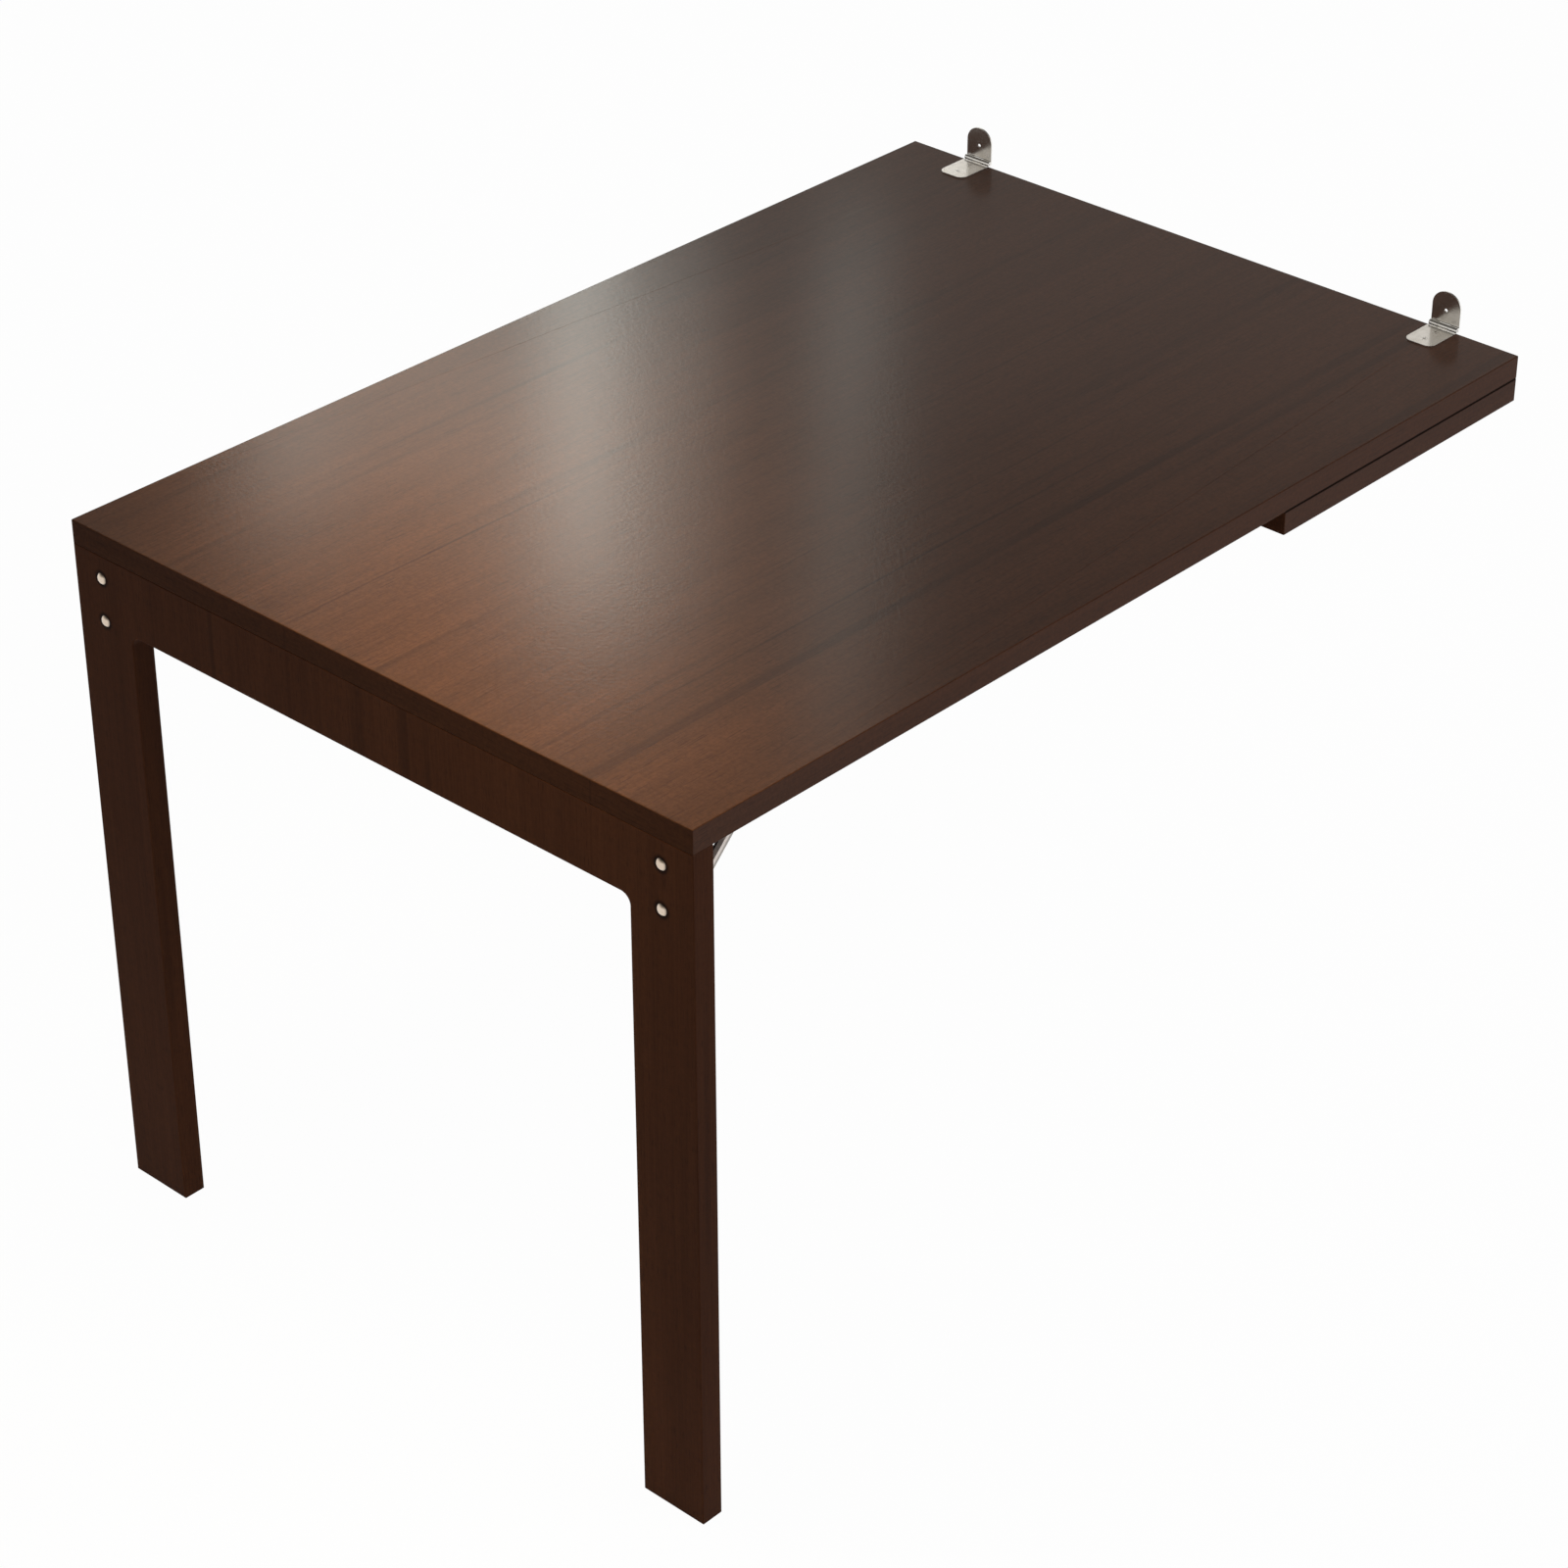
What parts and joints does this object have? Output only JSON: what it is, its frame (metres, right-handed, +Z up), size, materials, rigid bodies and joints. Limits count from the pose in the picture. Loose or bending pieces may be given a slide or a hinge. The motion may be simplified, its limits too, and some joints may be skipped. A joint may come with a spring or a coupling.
{
  "type": "wall mounted drop leaf table",
  "caption": "Long walnut dining board hinged to the wall above a fixed shelf, with a U-shaped leg frame that folds flat under it on steel folding brackets.",
  "frame": {"origin": "on the floor, midway across the table and midway between the wall and the bolt heads at the leg end, which is the bottom centre of the bounding box", "axes": "+X to the right seen from the leg end, +Y from the leg end to the wall, +Z up"},
  "size_m": [0.8, 1.2028, 0.795],
  "materials": {
    "walnut": "dark walnut stain under satin lacquer",
    "polished_steel": "mirror polished",
    "zinc_steel": "bright zinc plate",
    "nickel": "bright nickel plate"
  },
  "bodies": {
    "wall_side": {"wall_shelf": "walnut", "shelf_bracket_left": "zinc_steel", "shelf_bracket_right": "zinc_steel", "shelf_bracket_screws": "zinc_steel", "wall_hinge_leaf_left": "polished_steel", "wall_hinge_leaf_right": "polished_steel", "wall_hinge_pin_left": "polished_steel", "wall_hinge_pin_right": "polished_steel"},
    "tabletop": {"tabletop": "walnut", "table_hinge_leaf_left": "polished_steel", "table_hinge_leaf_right": "polished_steel", "table_hinge_screws": "polished_steel", "leg_track_left": "zinc_steel", "leg_track_right": "zinc_steel", "leg_track_screws": "zinc_steel", "leg_pivot_pin_left": "zinc_steel", "leg_pivot_pin_right": "zinc_steel"},
    "leg_frame": {"leg_frame_panel": "walnut", "leg_channel_left": "zinc_steel", "leg_channel_right": "zinc_steel", "leg_bolts": "nickel", "leg_bolt_nuts": "zinc_steel", "leg_stay_pin_left": "zinc_steel", "leg_stay_pin_right": "zinc_steel"},
    "stay_left": {"leg_stay_left": "zinc_steel", "leg_stay_stud_left": "zinc_steel"},
    "stay_right": {"leg_stay_right": "zinc_steel", "leg_stay_stud_right": "zinc_steel"}
  },
  "joints": [
    {"name": "tabletop_lift", "type": "hinge", "parent": "wall_side", "child": "tabletop", "pos_m": [0, 0.59835, 0.75805], "axis": [-1, 0, 0], "range_deg": [0, 90]},
    {"name": "leg_fold", "type": "hinge", "parent": "tabletop", "child": "leg_frame", "pos_m": [0, -0.5666, 0.723], "axis": [1, 0, 0], "range_deg": [0, 90]},
    {"name": "stay_turn_left", "type": "hinge", "parent": "leg_frame", "child": "stay_left", "pos_m": [-0.3625, -0.5666, 0.6505], "axis": [1, 0, 0], "range_deg": [-135, 0]},
    {"name": "stay_turn_right", "type": "hinge", "parent": "leg_frame", "child": "stay_right", "pos_m": [0.3625, -0.5666, 0.6505], "axis": [1, 0, 0], "range_deg": [-135, 0]}
  ],
  "couplings": [
    {"joint": "stay_turn_left", "follows": "leg_fold", "ratio": -1.5},
    {"joint": "stay_turn_right", "follows": "leg_fold", "ratio": -1.5}
  ]
}
